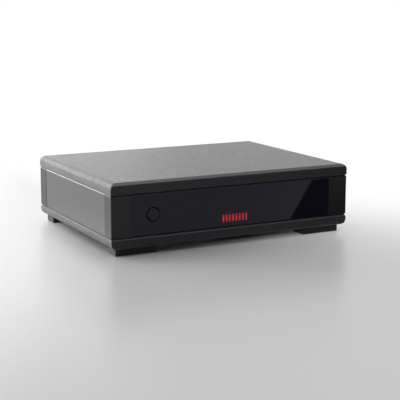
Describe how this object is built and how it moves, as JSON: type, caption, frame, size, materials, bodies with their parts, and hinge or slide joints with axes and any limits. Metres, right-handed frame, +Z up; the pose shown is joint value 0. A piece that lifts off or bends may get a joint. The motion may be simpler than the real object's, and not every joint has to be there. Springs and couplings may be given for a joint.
{
  "type": "phono preamp",
  "caption": "Low black desktop phono preamp: wrinkle-coated lid and base, gloss window with round power button and lit red bars, rear phono sockets.",
  "frame": {"origin": "on the surface it stands on, in the middle of the whole outline", "axes": "+X to the right seen from the front, +Y to the back, +Z up"},
  "size_m": [0.18, 0.15, 0.0487],
  "materials": {
    "textured_coat": "fine wrinkle powder coat",
    "satin_side": "smooth satin coat",
    "moulding": "satin moulded",
    "window_gloss": "polished acrylic",
    "button_plastic": "satin moulded",
    "foot_rubber": "matte",
    "switch_plastic": "moulded",
    "spring_steel": "drawn wire",
    "lit_red": "diffusing acrylic",
    "lamp_red": "tinted epoxy",
    "board_laminate": "solder resist on glass laminate",
    "steel_screws": "zinc plated",
    "brass_pillars": "turned",
    "plated_metal": "nickel plated",
    "contact_brass": "gold flashed",
    "insulator_white": "moulded",
    "insulator_red": "moulded",
    "bank_plastic": "moulded",
    "slider_plastic": "moulded",
    "capacitor_sleeve": "shrunk sleeve",
    "film_box": "moulded box",
    "resistor_lacquer": "lacquer",
    "chip_epoxy": "moulded epoxy",
    "sink_aluminium": "black anodised"
  },
  "bodies": {
    "case": {"amplifier_chips": "chip_epoxy", "base_tray": "textured_coat", "board_link": "switch_plastic", "board_pillars": "brass_pillars", "case_screws": "steel_screws", "fascia_window": "window_gloss", "film_capacitors": "film_box", "foot_front_left": "foot_rubber", "foot_front_right": "foot_rubber", "foot_rear_left": "foot_rubber", "foot_rear_right": "foot_rubber", "front_board": "board_laminate", "front_fascia": "moulding", "ground_nut": "plated_metal", "ground_stud": "plated_metal", "heat_sinks": "sink_aluminium", "indicator_lamps": "lamp_red", "light_guide": "lit_red", "loading_bank_left": "bank_plastic", "loading_bank_right": "bank_plastic", "main_board": "board_laminate", "pan_screws": "steel_screws", "power_inlet": "switch_plastic", "power_inlet_pin": "plated_metal", "rear_panel": "moulding", "regulators": "chip_epoxy", "reservoir_capacitors": "capacitor_sleeve", "resistors": "resistor_lacquer", "side_panel_left": "satin_side", "side_panel_right": "satin_side", "socket_block_input": "switch_plastic", "socket_block_output": "switch_plastic", "socket_contact_input_left": "contact_brass", "socket_contact_input_right": "contact_brass", "socket_contact_output_left": "contact_brass", "socket_contact_output_right": "contact_brass", "socket_insulator_input_left": "insulator_white", "socket_insulator_input_right": "insulator_red", "socket_insulator_output_left": "insulator_white", "socket_insulator_output_right": "insulator_red", "socket_shell_input_left": "plated_metal", "socket_shell_input_right": "plated_metal", "socket_shell_output_left": "plated_metal", "socket_shell_output_right": "plated_metal", "switch_housing": "switch_plastic", "switch_spring": "spring_steel", "top_cover": "textured_coat", "transistors": "chip_epoxy"},
    "power_button": {"power_button": "button_plastic", "switch_plunger": "switch_plastic"},
    "ground_washer": {"ground_washer": "plated_metal"},
    "ground_thumb_nut": {"ground_thumb_nut": "plated_metal"},
    "loading_slider_left_1": {"loading_slider_left_1": "slider_plastic"},
    "loading_slider_left_2": {"loading_slider_left_2": "slider_plastic"},
    "loading_slider_left_3": {"loading_slider_left_3": "slider_plastic"},
    "loading_slider_left_4": {"loading_slider_left_4": "slider_plastic"},
    "loading_slider_right_1": {"loading_slider_right_1": "slider_plastic"},
    "loading_slider_right_2": {"loading_slider_right_2": "slider_plastic"},
    "loading_slider_right_3": {"loading_slider_right_3": "slider_plastic"},
    "loading_slider_right_4": {"loading_slider_right_4": "slider_plastic"}
  },
  "joints": [
    {"name": "power_button_press", "type": "slide", "parent": "case", "child": "power_button", "axis": [0, 1, 0], "range_m": [0, 0.003], "stiffness_N_per_m": 350, "springref_m": -0.001, "deforming": ["switch_spring"]},
    {"name": "ground_nut_travel", "type": "slide", "parent": "case", "child": "ground_washer", "axis": [0, 1, 0], "range_m": [0, 0.0035]},
    {"name": "ground_nut_turn", "type": "hinge", "parent": "ground_washer", "child": "ground_thumb_nut", "pos_m": [-0.02343, 0.0635, 0.02365], "axis": [0, -1, 0], "range_deg": [0, 1800]},
    {"name": "loading_slider_left_1_slide", "type": "slide", "parent": "case", "child": "loading_slider_left_1", "axis": [0, 0, 1], "range_m": [0, 0.0016]},
    {"name": "loading_slider_left_2_slide", "type": "slide", "parent": "case", "child": "loading_slider_left_2", "axis": [0, 0, 1], "range_m": [0, 0.0016]},
    {"name": "loading_slider_left_3_slide", "type": "slide", "parent": "case", "child": "loading_slider_left_3", "axis": [0, 0, 1], "range_m": [0, 0.0016]},
    {"name": "loading_slider_left_4_slide", "type": "slide", "parent": "case", "child": "loading_slider_left_4", "axis": [0, 0, 1], "range_m": [0, 0.0016]},
    {"name": "loading_slider_right_1_slide", "type": "slide", "parent": "case", "child": "loading_slider_right_1", "axis": [0, 0, 1], "range_m": [0, 0.0016]},
    {"name": "loading_slider_right_2_slide", "type": "slide", "parent": "case", "child": "loading_slider_right_2", "axis": [0, 0, 1], "range_m": [0, 0.0016]},
    {"name": "loading_slider_right_3_slide", "type": "slide", "parent": "case", "child": "loading_slider_right_3", "axis": [0, 0, 1], "range_m": [0, 0.0016]},
    {"name": "loading_slider_right_4_slide", "type": "slide", "parent": "case", "child": "loading_slider_right_4", "axis": [0, 0, 1], "range_m": [0, 0.0016]}
  ],
  "couplings": [
    {"joint": "ground_nut_turn", "follows": "ground_nut_travel", "rad_per_m": 8976}
  ]
}
